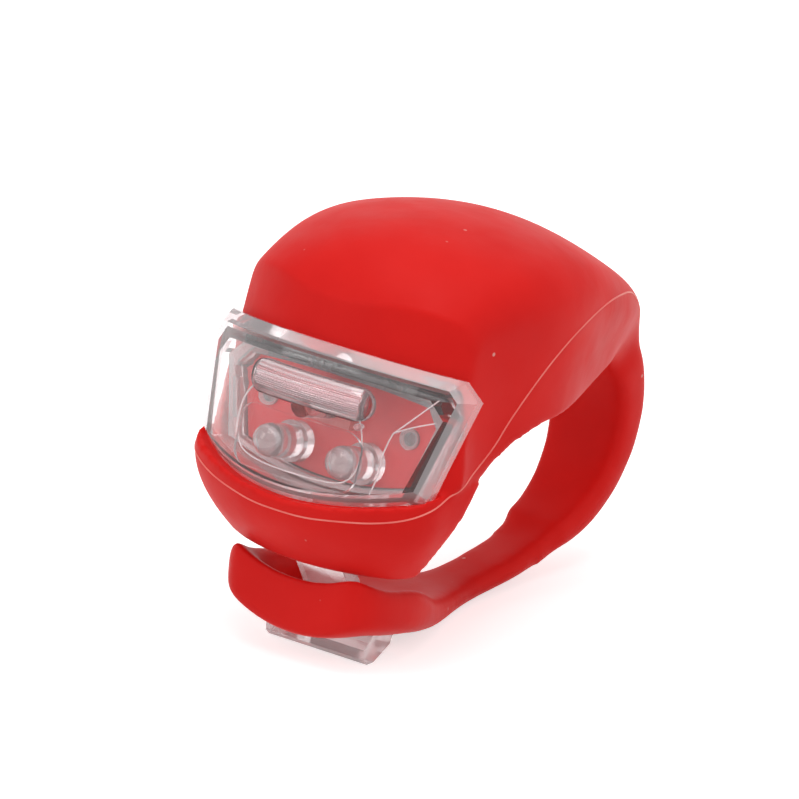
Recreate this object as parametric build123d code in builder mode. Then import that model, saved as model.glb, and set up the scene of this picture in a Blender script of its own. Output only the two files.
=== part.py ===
from build123d import *
from math import cos, radians, sin
import os

os.makedirs("parts", exist_ok=True)

# A small two-lamp bicycle light: a silicone jacket with its own wrap-round strap over a sealed capsule.
# X runs across the light, Y from the lens at the front (negative) to the bend of the strap, Z up.
# The light stands on the bottom of its strap and on the toe of its clear hook, which both touch Z = 0.

# Clearances
fit_gap = 0.1
touch_gap = 0.05
skin_gap = 0.08
rim_gap = 0.15
slide_gap = 0.2

# The tube that the strap wraps, a seat stay or a bar, and the strap round it
bar_radius = 8.3
bar_y = 13.5
bar_rise = 4.8
root_angle = 35.0
end_angle = -75.0
hinge_slit = 0.6
strap_root_half = 4.7
strap_root_thick = 4.3
strap_end_half = 3.2
strap_end_thick = 2.9
strap_bend_steps = 4
strap_crown = 0.35
strap_flat = 0.05
strap_round = 0.95

# The run of the strap under the light, which widens into a paddle with a slot for the hook
run_half = 2.8
run_thick = 2.4
run_back_y = 11.5
run_ground_y = 0.6
run_back_bow = 67.0
run_front_bow = 83.0
run_steps = 7
flare_start_y = 5.0
flare_end_y = -14.5
paddle_half = 8.2
paddle_thick = 3.3
paddle_lift = 2.0
paddle_rim = 2.1
paddle_front_rim = 2.6
paddle_round_rim = 1.4
paddle_wide_y = -16.0
paddle_round_y = -19.0
paddle_front_y = -20.6
paddle_round_inset = 0.5
paddle_front_inset = 2.0
paddle_front_thin = 0.7
slot_half = 5.8
slot_front_y = -17.7
slot_back_y = -11.1
slot_round = 1.0

# The lens: a bowed six-sided window, measured in its own leaning plane from its foot line
lens_tilt = 14.4
lens_foot_y = -19.4
lens_foot_z = 17.7
lens_foot_half = 12.05
lens_cheek_half = 13.7
lens_cheek_rise = 9.4
lens_brow_half = 12.55
lens_brow_rise = 10.95
lens_brow_arch = 0.35
lens_smile = 2.6
lens_bow_radius = 19.5
lens_bow = 3.8
lens_rim_thick = 1.4
lens_wall = 1.3
lens_window_wall = 1.0
lens_bevel = 1.0
lens_travel = 0.4
skirt_side = 1.4
skirt_low = 0.6
skirt_wall = 0.8
skirt_low_wall = 0.5
skirt_back = -3.9
window_half = 6.3
window_low = -1.1
window_high = 4.4
window_round = 1.6
bead_half = 6.2
bead_rise = 6.85
bead_half_height = 1.5
bead_depth = 1.2
bead_round = 0.6
post_radius = 1.1
snap_rise = 3.6
snap_length = 3.0
snap_proud = 0.35
snap_thick = 0.3
snap_front = -2.55
snap_lip = 0.05

# The two lamps, 3 mm across
lamp_radius = 1.5
lamp_flange_radius = 1.85
lamp_flange_thick = 1.0
lamp_length = 5.3
lamp_half_pitch = 3.8
lamp_rise = 1.4
lamp_lens_gap = 0.15
lead_side = 0.5
lead_half_pitch = 1.27

# The board, its press switch and the small parts on it
board_thick = 1.0
switch_width = 4.2
switch_length = 3.2
switch_height = 1.5
switch_rise = 5.5
switch_cover_thick = 0.2
switch_button_radius = 0.9
switch_button_proud = 0.8
switch_button_depth = 0.3
chip_radius = 2.2
chip_height = 0.5
chip_dome = 1.6
chip_offset = 2.6
chip_rise = 4.6
resistor_length = 1.6
resistor_width = 0.8
resistor_height = 0.45
resistor_offset = 3.0
resistor_rises = (3.9, 5.3)
pocket_depth = 0.62
pocket_half = 5.2
pocket_low = 2.1
pocket_high = 7.1
pocket_round = 1.0
peg_radius = 0.6
peg_head_radius = 0.95
peg_head_height = 0.3
peg_offset = 7.5
peg_rise = 4.6

# The capsule: a drum for two coin cells, 20 mm across and 3.2 mm thick each
cell_radius = 10.0
cell_height = 3.2
cell_lid_inset = 1.1
cell_lid_height = 0.3
drum_y = -0.1
drum_bore_gap = 0.25
drum_wall = 1.25
drum_roof = 1.1
drum_chamfer = 1.5
saddle_skin = 1.2
bulkhead_thick = 1.0
collar_wall = 0.8
collar_low_wall = 0.5
collar_front = -2.2
neck_half = 9.0
neck_rise = 5.9
neck_brow = 3.0
neck_foot_y = -12.9
neck_brow_y = -12.1
neck_top_y = -10.6
seal_front = -3.4
seal_back = -3.85
seal_thick = 0.35

# The coin-slotted battery cap with its three bayonet lugs
cap_inset = 0.1
cap_thick = 1.5
cap_gap = 0.15
lug_low = 0.1
lug_high = 0.7
lug_proud = 0.45
lug_width = 18.0
lug_count = 3
lug_start = 40.0
lug_slack = 1.5
cap_turn = 30.0
coin_slot_length = 12.0
coin_slot_width = 1.8
coin_slot_depth = 0.7
cap_seal_low = 0.85
cap_seal_high = 1.35
cap_seal_depth = 0.45

# The battery contacts and the two wires between them and the board
contact_thick = 0.3
contact_half = 0.8
contact_x = 3.0
contact_groove = 0.4
contact_front = 10.3
contact_room = 0.6
contact_disc = 9.3
contact_hole = 3.0
contact_foot_thick = 0.2
contact_reach = 3.0
side_contact_height = 3.6
roof_room = 0.5
wire_radius = 0.35
wire_board_rise = 6.4
wire_wall_height = 1.0

# The jacket: a hood over the capsule and a chin under the lens
hood_setback = 0.5
lip_ahead = 2.8
lip_setback = 1.2
lip_shoulder = 0.75
lip_crown = 1.0
lip_corner = 1.8
lip_floor = -1.0
brow_y = -14.0
brow_setback = 1.5
brow_floor_setback = 0.6
brow_drop = 1.5
brow_arch = 5.1
brow_corner = 3.6
brow_floor = 0.2
crown_y = -6.0
crown_skin = 4.8
crown_arch = 3.8
crown_corner = 5.2
crown_floor_setback = 0.8
crown_floor = 2.2
back_y = 2.0
back_drop = 0.9
back_arch = 3.6
back_floor_setback = 1.4
tail_y = 9.0
tail_drop = 3.4
tail_arch = 3.3
tail_half = 11.6
tail_corner = 4.0
tail_floor_half = 9.6
saddle_lap = 0.3
high_angle = 75.0
high_half = 8.4
high_thick = 7.9
high_arch = 1.4
high_corner = 2.6
high_floor_half = 6.8
mid_angle = 52.0
mid_half = 5.6
mid_thick = 6.1
mid_arch = 0.6
mid_corner = 1.6
root_floor_inset = 0.3
root_arch = 0.3
root_corner = 1.4
floor_corner = 1.0
saddle_arc_y = -1.5
saddle_arc_radius = 14.0
chin_height = 8.7
chin_ahead = 4.1
chin_proud = 0.65
chin_corner_back = 0.4
chin_cheek_height = 2.6
chin_jaw_height = 5.6
chin_jaw_inset = 1.2
chin_jaw_back = 0.7
chin_foot_inset = 2.9
chin_foot_back = 2.6
chin_foot_nose = 3.7
chin_back_y = -9.0
chin_round = 4.0
chin_edge = 0.8

# The clear hook on the underside of the capsule
hook_stem_half = 2.6
hook_lip_half = 5.3
hook_thick = 1.75
hook_top = 15.3
hook_top_y = -15.0
hook_knee = 11.5
hook_knee_y = -16.3
hook_drop = 8.8
hook_drop_y = -16.05
hook_bend = 4.6
hook_bend_y = -13.45
hook_lip_top = 3.6
hook_toe_y = -16.1
hook_toe_thick = 2.0
hook_toe_flat = 1.5
hook_round = 0.55
hook_heel_y = -11.75
hook_heel_low = 1.2
hook_heel_rise = 2.6

# Values worked out from the sizes above
tilt = radians(lens_tilt)
bar_z = bar_rise + bar_radius
saddle_z = bar_z + bar_radius
bow_centre = lens_bow - lens_bow_radius
lens_window_radius = lens_bow_radius - lens_window_wall
lamp_tip = bow_centre + (lens_window_radius**2 - lamp_half_pitch**2) ** 0.5 - lens_travel - lamp_lens_gap
board_front = lamp_tip - lamp_length - skin_gap
board_back = board_front - board_thick
bulkhead_front = board_back - skin_gap
bulkhead_back = bulkhead_front - bulkhead_thick
collar_side = skirt_side + skirt_wall + fit_gap
collar_low = skirt_low + skirt_low_wall + fit_gap
board_side = collar_side + collar_wall + fit_gap
board_low = collar_low + collar_low_wall + fit_gap
button_top = board_front + switch_height + switch_button_proud
rim_radius = lens_bow_radius - lens_rim_thick
jacket_rim_radius = rim_radius - lens_travel - fit_gap
drum_floor = saddle_z + saddle_skin
cap_floor = drum_floor + cap_inset
cap_top = cap_floor + cap_thick
cell_floor = cap_top + contact_room
cell_top = cell_floor + 2 * cell_height
drum_bore = cell_radius + drum_bore_gap
drum_radius = drum_bore + drum_wall
drum_ceiling = cell_top + roof_room
drum_top = drum_ceiling + drum_roof
cap_radius = drum_bore - cap_gap
hood_half = lens_cheek_half - hood_setback
hood_crown = drum_top + crown_skin
far = 60.0
near = 20.0


def lens_plane(ahead=0.0):
    """The leaning plane of the lens, so far ahead of its foot line, with X across and Y up the slope."""
    return Plane(
        origin=(0, lens_foot_y - ahead * cos(tilt), lens_foot_z + ahead * sin(tilt)),
        x_dir=(1, 0, 0),
        z_dir=(0, -cos(tilt), sin(tilt)),
    )


def lens_point(x, rise, ahead):
    """The place of a point given across, up the slope and ahead of the foot line of the lens."""
    y = lens_foot_y - ahead * cos(tilt) + rise * sin(tilt)
    z = lens_foot_z + ahead * sin(tilt) + rise * cos(tilt)
    return (x, y, z)


def upright(y):
    """A vertical plane across the light, with X across and Y up."""
    return Plane(origin=(0, y, 0), x_dir=(1, 0, 0), z_dir=(0, -1, 0))


def hanging(y):
    """A vertical plane across the light, with X across and Y down."""
    return Plane(origin=(0, y, 0), x_dir=(1, 0, 0), z_dir=(0, 1, 0))


def radial(angle):
    """A plane through the axis of the bar, with X across and Y outward from the bar."""
    turn = radians(angle)
    return Plane(origin=(0, bar_y, bar_z), x_dir=(1, 0, 0), z_dir=(0, -sin(turn), cos(turn)))


def lens_outline(side=0.0, low=0.0):
    """The six-sided outline of the lens, drawn in by one margin at the sides and top and one at the foot."""
    foot_half = lens_foot_half - side
    foot = (foot_half, low - lens_smile * (1 - (foot_half / lens_foot_half) ** 2))
    cheek = (lens_cheek_half - side, lens_cheek_rise - side)
    brow = (lens_brow_half - side, lens_brow_rise - side)
    with BuildSketch(mode=Mode.PRIVATE) as outline:
        with BuildLine():
            ThreePointArc((-brow[0], brow[1]), (0, brow[1] + lens_brow_arch), brow)
            Line(brow, cheek)
            Line(cheek, foot)
            ThreePointArc(foot, (0, low - lens_smile), (-foot[0], foot[1]))
            Line((-foot[0], foot[1]), (-cheek[0], cheek[1]))
            Line((-cheek[0], cheek[1]), (-brow[0], brow[1]))
        make_face()
    return outline.sketch


def lens_prism(back, front, side=0.0, low=0.0):
    """A block with the outline of the lens between two depths of its plane."""
    with BuildPart(mode=Mode.PRIVATE) as prism:
        with BuildSketch(lens_plane(back)):
            add(lens_outline(side, low))
        extrude(amount=front - back)
    return prism.part


def barrel(radius):
    """A round log along the slope of the lens, whose front has the bow of the lens."""
    foot = lens_point(0, -far / 2, bow_centre)
    with BuildPart(mode=Mode.PRIVATE) as log:
        with BuildSketch(Plane(origin=foot, x_dir=(1, 0, 0), z_dir=(0, sin(tilt), cos(tilt)))):
            Circle(radius)
        extrude(amount=far)
    return log.part


def ahead_of_bow(radius):
    """All the room ahead of a bowed surface."""
    with BuildPart(mode=Mode.PRIVATE) as room:
        with BuildSketch(lens_plane(bow_centre)):
            Rectangle(far, far)
        extrude(amount=far)
        add(barrel(radius), mode=Mode.SUBTRACT)
    return room.part


def arched_section(plane, top, floor, corner):
    """One cross-section of the hood: an arched top, sloping sides and a flat floor, with rounded corners."""
    half, crown, arch = top
    floor_half, floor_height = floor
    shoulder = crown - arch
    with BuildSketch(plane, mode=Mode.PRIVATE) as section:
        with BuildLine():
            ThreePointArc((-half, shoulder), (0, crown), (half, shoulder))
            Line((half, shoulder), (floor_half, floor_height))
            Line((floor_half, floor_height), (-floor_half, floor_height))
            Line((-floor_half, floor_height), (-half, shoulder))
        make_face()
        fillet(section.vertices().group_by(Axis.Y)[-1], corner)
        fillet(section.vertices().group_by(Axis.Y)[0], floor_corner)
    return section.sketch


def strap_section(plane, half, inner, outer, lift=strap_flat, rim=0.0):
    """One cross-section of the strap between its two faces, with rounded corners and raised rims."""
    side = inner - lift - rim
    with BuildSketch(plane, mode=Mode.PRIVATE) as section:
        with BuildLine():
            ThreePointArc((-half, side), (0, inner), (half, side))
            Line((half, side), (half, outer - lift - strap_crown))
            ThreePointArc((half, outer - lift - strap_crown), (0, outer), (-half, outer - lift - strap_crown))
            Line((-half, outer - lift - strap_crown), (-half, side))
        make_face()
        fillet(section.vertices(), strap_round)
    return section.sketch


def run_bottom(y):
    """The height of the underside of the strap's run, which rises from its lowest point both ways."""
    bow = run_back_bow if y > run_ground_y else run_front_bow
    return (y - run_ground_y) ** 2 / (2 * bow)


def tube_sector(inner, outer, start, sweep, floor, ceiling):
    """A piece of a ring about the axis of the drum, between two radii, two angles and two heights."""
    turns = (radians(start), radians(start + sweep / 2), radians(start + sweep))
    rim = [(outer * cos(turn), drum_y + outer * sin(turn)) for turn in turns]
    bore = [(inner * cos(turn), drum_y + inner * sin(turn)) for turn in turns]
    with BuildPart(mode=Mode.PRIVATE) as sector:
        with BuildSketch(Plane.XY.offset(floor)):
            with BuildLine():
                ThreePointArc(rim[0], rim[1], rim[2])
                Line(rim[2], bore[2])
                ThreePointArc(bore[2], bore[1], bore[0])
                Line(bore[0], rim[0])
            make_face()
        extrude(amount=ceiling - floor)
    return sector.part


def drum_disc(radius, floor, ceiling, hole=0.0):
    """A disc or ring on the axis of the drum."""
    with BuildPart(mode=Mode.PRIVATE) as disc:
        with BuildSketch(Plane.XY.offset(floor)):
            with Locations((0, drum_y)):
                Circle(radius)
                if hole:
                    Circle(hole, mode=Mode.SUBTRACT)
        extrude(amount=ceiling - floor)
    return disc.part


def lens_box(x, rise, width, length, back, front):
    """A block square to the lens plane."""
    with BuildPart(mode=Mode.PRIVATE) as block:
        with BuildSketch(lens_plane(back)):
            with Locations((x, rise)):
                Rectangle(width, length)
        extrude(amount=front - back)
    return block.part


def lens_rod(x, rise, radius, back, front):
    """A round rod square to the lens plane."""
    with BuildPart(mode=Mode.PRIVATE) as rod:
        with BuildSketch(lens_plane(back)):
            with Locations((x, rise)):
                Circle(radius)
        extrude(amount=front - back)
    return rod.part


def straight_rod(start, end, radius):
    """A round rod between two points."""
    run = Vector(end) - Vector(start)
    with BuildPart(mode=Mode.PRIVATE) as rod:
        with BuildSketch(Plane(origin=start, x_dir=(1, 0, 0), z_dir=run.normalized())):
            Circle(radius)
        extrude(amount=run.length)
    return rod.part


def yz_prism(points, half):
    """A block with a side outline, as far to the left as to the right."""
    with BuildPart(mode=Mode.PRIVATE) as block:
        with BuildSketch(Plane.YZ):
            with BuildLine():
                Polyline(*points, close=True)
            make_face()
        extrude(amount=half, both=True)
    return block.part


def neck(extra=0.0):
    """The solid neck between the drum and the bulkhead, above the saddle."""
    side = [
        (neck_foot_y, drum_floor - extra),
        (neck_brow_y, drum_floor + neck_brow + extra),
        (neck_top_y, drum_floor + neck_rise + extra),
        (drum_y, drum_floor + neck_rise + extra),
        (drum_y, drum_floor - extra),
    ]
    return yz_prism(side, neck_half + extra)


def hook(extra=0.0):
    """The hook: a stem from the bulkhead and a wide lip whose toe points forward."""
    half = hook_thick / 2
    side = [
        (hook_top_y - half - extra, hook_top),
        (hook_knee_y - half - extra, hook_knee),
        (hook_drop_y - half - extra, hook_drop),
        (hook_bend_y - half - extra, hook_bend),
        (hook_bend_y - half + hook_round, hook_lip_top),
        (hook_toe_y + hook_round, hook_toe_thick),
        (hook_toe_y, hook_toe_thick - hook_round),
        (hook_toe_y, hook_round),
        (hook_toe_y + hook_round, 0.0),
        (hook_toe_y + hook_toe_flat, 0.0),
        (hook_heel_y - hook_round, hook_heel_low),
        (hook_heel_y, hook_heel_rise),
        (hook_bend_y + half + extra, hook_bend),
        (hook_drop_y + half + extra, hook_drop),
        (hook_knee_y + half + extra, hook_knee),
        (hook_top_y + half + extra, hook_top),
    ]
    with BuildPart(mode=Mode.PRIVATE) as clip:
        add(yz_prism(side, hook_lip_half))
        with BuildSketch(Plane.XY.offset(hook_lip_top)):
            for place in (-1, 1):
                with Locations((place * (hook_stem_half + extra + far / 2), 0)):
                    Rectangle(far, far)
        extrude(amount=far, mode=Mode.SUBTRACT)
    return clip.part


def bayonet_lugs(extra, floor, ceiling, sweep):
    """Three lugs round the cap, or the room for them in the drum."""
    with BuildPart(mode=Mode.PRIVATE) as lugs:
        for index in range(lug_count):
            start = lug_start + index * 360 / lug_count - extra * lug_slack
            reach = sweep + 2 * extra * lug_slack
            rim = cap_radius + lug_proud + extra * fit_gap
            add(tube_sector(cap_radius - lug_proud, rim, start, reach, floor, ceiling))
    return lugs.part


# Capsule housing of clear plastic: drum, neck, bulkhead, collar, pegs and hook in one moulding
wire_start = lens_point(0, wire_board_rise, board_back)
wire_end = (0, drum_y - contact_front - contact_thick / 2 - touch_gap, cell_floor + wire_wall_height)
with BuildPart() as housing:
    add(drum_disc(drum_radius, drum_floor, drum_top))
    chamfer(housing.edges().group_by(Axis.Z)[-1], drum_chamfer)
    add(neck())
    add(lens_prism(bulkhead_back, bulkhead_front, skirt_side, skirt_low))
    add(lens_prism(bulkhead_back, collar_front, collar_side, collar_low))
    add(lens_prism(bulkhead_front, near, board_side - fit_gap, board_low - fit_gap), mode=Mode.SUBTRACT)
    # pocket for the small parts on the back of the board, and the pegs that hold the board
    with BuildSketch(lens_plane(bulkhead_front - pocket_depth)):
        with Locations((0, (pocket_low + pocket_high) / 2)):
            RectangleRounded(2 * pocket_half, pocket_high - pocket_low, pocket_round)
    extrude(amount=pocket_depth, mode=Mode.SUBTRACT)
    for place in (-1, 1):
        peg_x = place * peg_offset
        head_base = board_front + touch_gap
        add(lens_rod(peg_x, peg_rise, peg_radius, bulkhead_front, head_base + peg_head_height))
        add(lens_rod(peg_x, peg_rise, peg_head_radius, head_base, head_base + peg_head_height))
    with BuildPart(mode=Mode.PRIVATE) as hook_below:
        add(hook())
        add(lens_prism(bulkhead_front, near, skirt_side, skirt_low), mode=Mode.SUBTRACT)
    add(hook_below.part)
    add(drum_disc(drum_bore, drum_floor - far, drum_ceiling), mode=Mode.SUBTRACT)
    lug_ceiling = cap_floor + lug_high + fit_gap
    add(bayonet_lugs(1, cap_floor + lug_low - fit_gap, lug_ceiling, lug_width + cap_turn), mode=Mode.SUBTRACT)
    with BuildPart(mode=Mode.PRIVATE) as entries:
        for index in range(lug_count):
            start = lug_start + cap_turn + index * 360 / lug_count - lug_slack
            rim = cap_radius + lug_proud + fit_gap
            sweep = lug_width + 2 * lug_slack
            add(tube_sector(cap_radius - lug_proud, rim, start, sweep, drum_floor - near, lug_ceiling))
    add(entries.part, mode=Mode.SUBTRACT)
    # seal groove round the collar
    with BuildPart(mode=Mode.PRIVATE) as seal_room:
        groove = (seal_back - skin_gap, seal_front + skin_gap)
        add(lens_prism(*groove, collar_side - fit_gap, collar_low - fit_gap))
        inset = seal_thick + skin_gap
        add(lens_prism(-near, near, collar_side + inset, collar_low + inset), mode=Mode.SUBTRACT)
    add(seal_room.part, mode=Mode.SUBTRACT)
    # two recesses for the snap ridges of the lens
    snap_room_back = snap_front - snap_thick - lens_travel - fit_gap
    with BuildPart(mode=Mode.PRIVATE) as snap_rooms:
        add(lens_prism(snap_room_back, snap_front + snap_lip, collar_side - fit_gap, collar_low - fit_gap))
        inset = snap_proud
        add(lens_prism(snap_room_back, near, collar_side + inset, collar_low), mode=Mode.SUBTRACT)
        add(lens_box(0, snap_rise, far, snap_length + 2 * slide_gap, -near, near), mode=Mode.INTERSECT)
    add(snap_rooms.part, mode=Mode.SUBTRACT)
    # grooves and holes for the contacts and their wires
    for place in (-1, 1):
        with BuildSketch(Plane.XY.offset(cap_top + fit_gap)):
            with Locations((place * contact_x, drum_y - contact_front + contact_groove)):
                Rectangle(2 * contact_half + 2 * fit_gap, 4 * contact_groove)
        extrude(amount=drum_ceiling - cap_top - fit_gap, mode=Mode.SUBTRACT)
        wire_from = (place * contact_x, wire_start[1], wire_start[2])
        wire_to = (place * contact_x, wire_end[1], wire_end[2])
        add(straight_rod(wire_from, wire_to, wire_radius + skin_gap), mode=Mode.SUBTRACT)

# Lens: bowed window with a rim, a skirt that slides over the collar, a press rib and a post on the switch
with BuildPart() as lens:
    add(lens_prism(skirt_back, near))
    add(ahead_of_bow(lens_bow_radius), mode=Mode.SUBTRACT)
    chamfer(lens.faces().sort_by(SortBy.AREA)[-1].outer_wire().edges(), lens_bevel)
    with BuildPart(mode=Mode.PRIVATE) as behind_rim:
        add(lens_prism(-near, near, -lens_wall, -lens_wall))
        add(ahead_of_bow(rim_radius), mode=Mode.SUBTRACT)
        add(lens_prism(-near, near, skirt_side, skirt_low), mode=Mode.SUBTRACT)
    add(behind_rim.part, mode=Mode.SUBTRACT)
    with BuildPart(mode=Mode.PRIVATE) as hollow:
        add(lens_prism(-near, near, skirt_side + skirt_wall, skirt_low + skirt_low_wall))
        add(ahead_of_bow(lens_bow_radius - lens_wall), mode=Mode.SUBTRACT)
    add(hollow.part, mode=Mode.SUBTRACT)
    with BuildPart(mode=Mode.PRIVATE) as window:
        with BuildSketch(lens_plane(bow_centre)):
            with Locations((0, (window_low + window_high) / 2)):
                RectangleRounded(2 * window_half, window_high - window_low, window_round)
        extrude(amount=far)
        add(ahead_of_bow(lens_window_radius), mode=Mode.SUBTRACT)
        add(lens_prism(-near, near, skirt_side + skirt_wall, skirt_low + skirt_low_wall), mode=Mode.INTERSECT)
    add(window.part, mode=Mode.SUBTRACT)
    # press rib across the inside, with the post that reaches the switch
    with BuildPart(mode=Mode.PRIVATE) as rib:
        with BuildSketch(lens_plane(0)):
            with Locations((0, bead_rise)):
                RectangleRounded(2 * bead_half, 2 * bead_half_height, bead_half_height - touch_gap)
        extrude(amount=near)
        add(ahead_of_bow(lens_bow_radius - lens_wall / 2), mode=Mode.SUBTRACT)
        with BuildPart(mode=Mode.PRIVATE) as rib_back:
            add(barrel(lens_bow_radius - lens_wall - bead_depth))
        add(rib_back.part, mode=Mode.SUBTRACT)
        fillet(rib.faces().sort_by(Axis.Y)[-1].edges(), bead_round)
    add(rib.part)
    with BuildPart(mode=Mode.PRIVATE) as post:
        add(lens_rod(0, switch_rise, post_radius, button_top + touch_gap, near))
        add(ahead_of_bow(lens_bow_radius - lens_wall / 2), mode=Mode.SUBTRACT)
    add(post.part)
    with BuildPart(mode=Mode.PRIVATE) as snaps:
        add(lens_prism(snap_front - snap_thick, snap_front, skirt_side + skirt_wall / 2, skirt_low))
        add(lens_prism(-near, near, collar_side - fit_gap + snap_proud, 0), mode=Mode.SUBTRACT)
        add(lens_box(0, snap_rise, far, snap_length, -near, near), mode=Mode.INTERSECT)
    add(snaps.part)

# Silicone jacket: the hood, the chin and the root of the strap, hollow for the capsule and the lens
with BuildPart() as jacket:
    with BuildPart(mode=Mode.PRIVATE) as hood:
        lip_half = lens_cheek_half - lip_setback
        lip_top = lens_brow_rise + lip_crown
        lip = (lip_half, lip_top, lip_crown + lip_shoulder)
        add(arched_section(lens_plane(lip_ahead), lip, (lip_half, lip_floor), lip_corner))
        brow_top = (lens_cheek_half - brow_setback, hood_crown - brow_drop, brow_arch)
        brow_low = (lens_cheek_half - brow_floor_setback, lens_foot_z - brow_floor)
        add(arched_section(upright(brow_y), brow_top, brow_low, brow_corner))
        crown_low = (lens_cheek_half - crown_floor_setback, saddle_z - crown_floor)
        add(arched_section(upright(crown_y), (hood_half, hood_crown, crown_arch), crown_low, crown_corner))
        back_low = (lens_cheek_half - back_floor_setback, saddle_z - saddle_lap)
        back_top = (hood_half, hood_crown - back_drop, back_arch)
        add(arched_section(upright(back_y), back_top, back_low, crown_corner))
        tail_top = (tail_half, hood_crown - tail_drop, tail_arch)
        add(arched_section(upright(tail_y), tail_top, (tail_floor_half, saddle_z - saddle_lap), tail_corner))
        inside = bar_radius - saddle_lap
        high_top = (high_half, bar_radius + high_thick, high_arch)
        add(arched_section(radial(high_angle), high_top, (high_floor_half, inside), high_corner))
        mid_top = (mid_half, bar_radius + mid_thick, mid_arch)
        add(arched_section(radial(mid_angle), mid_top, (strap_root_half, inside), mid_corner))
        root_top = (strap_root_half, bar_radius + strap_root_thick, root_arch)
        root_low = (strap_root_half - root_floor_inset, inside)
        add(arched_section(radial(root_angle), root_top, root_low, root_corner))
        loft()
        add(ahead_of_bow(jacket_rim_radius), mode=Mode.SUBTRACT)
    with BuildPart(mode=Mode.PRIVATE) as chin:
        chin_half = lens_foot_half + chin_proud
        corner_y = lens_foot_y + chin_corner_back
        nose_y = lens_foot_y - chin_ahead
        jaw = (chin_half - chin_jaw_inset, corner_y + chin_jaw_back, nose_y + chin_jaw_inset)
        foot = (chin_half - chin_foot_inset, corner_y + chin_foot_back, nose_y + chin_foot_nose)
        slices = (
            (lens_foot_z, (chin_half, corner_y, nose_y)),
            (lens_foot_z - chin_cheek_height, (chin_half, corner_y, nose_y)),
            (lens_foot_z - chin_jaw_height, jaw),
            (lens_foot_z - chin_height, foot),
        )
        for height, (half, side_y, front_y) in slices:
            with BuildSketch(Plane.XY.offset(height)) as slice_face:
                with BuildLine():
                    ThreePointArc((-half, side_y), (0, front_y), (half, side_y))
                    Line((half, side_y), (half, chin_back_y))
                    Line((half, chin_back_y), (-half, chin_back_y))
                    Line((-half, chin_back_y), (-half, side_y))
                make_face()
                fillet(slice_face.vertices().group_by(Axis.Y)[0], chin_round)
        loft()
        fillet(chin.edges().group_by(Axis.Z)[0], chin_edge)
    add(hood.part)
    add(chin.part)
    # the room for the tube, with the saddle that rests on it
    arc_mid = radians(135)
    arc_z = saddle_z - saddle_arc_radius
    arc_point = (saddle_arc_y + saddle_arc_radius * cos(arc_mid), arc_z + saddle_arc_radius * sin(arc_mid))
    with BuildPart(mode=Mode.PRIVATE) as loop:
        with BuildSketch(Plane.YZ):
            with BuildLine():
                ThreePointArc(
                    (saddle_arc_y - saddle_arc_radius, arc_z),
                    arc_point,
                    (saddle_arc_y, saddle_z),
                )
                Polyline(
                    (saddle_arc_y, saddle_z),
                    (bar_y, saddle_z),
                    (bar_y, 0.0),
                    (saddle_arc_y - saddle_arc_radius, 0.0),
                    (saddle_arc_y - saddle_arc_radius, arc_z),
                )
            make_face()
        extrude(amount=far, both=True)
        with BuildSketch(Plane.YZ):
            with Locations((bar_y, bar_z)):
                Circle(bar_radius)
        extrude(amount=far, both=True)
    add(loop.part, mode=Mode.SUBTRACT)
    # hollow for the capsule, with the drum's own chamfer under the hump
    with BuildPart(mode=Mode.PRIVATE) as drum_room:
        add(drum_disc(drum_radius + skin_gap, drum_floor - skin_gap, drum_top + skin_gap))
        chamfer(drum_room.edges().group_by(Axis.Z)[-1], drum_chamfer)
    add(drum_room.part, mode=Mode.SUBTRACT)
    add(neck(skin_gap), mode=Mode.SUBTRACT)
    back = bulkhead_back - skin_gap
    add(lens_prism(back, near, skirt_side - slide_gap, skirt_low - slide_gap), mode=Mode.SUBTRACT)
    with BuildPart(mode=Mode.PRIVATE) as lens_room:
        add(lens_prism(bow_centre, near, -rim_gap, -rim_gap))
        add(barrel(jacket_rim_radius), mode=Mode.SUBTRACT)
    add(lens_room.part, mode=Mode.SUBTRACT)
    add(hook(fit_gap), mode=Mode.SUBTRACT)

# Rear bend of the strap, from the root down behind the bar
with BuildPart() as strap_rear:
    start_angle = root_angle - hinge_slit
    for step in range(strap_bend_steps + 1):
        share = step / strap_bend_steps
        angle = start_angle + (end_angle - start_angle) * share
        half = strap_root_half + (strap_end_half - strap_root_half) * share
        thick = strap_root_thick + (strap_end_thick - strap_root_thick) * share
        add(strap_section(radial(angle), half, bar_radius - fit_gap, bar_radius + thick))
    loft()
    with BuildSketch(Plane.YZ):
        with Locations((bar_y, bar_z)):
            Circle(bar_radius)
    extrude(amount=far, both=True, mode=Mode.SUBTRACT)

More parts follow.
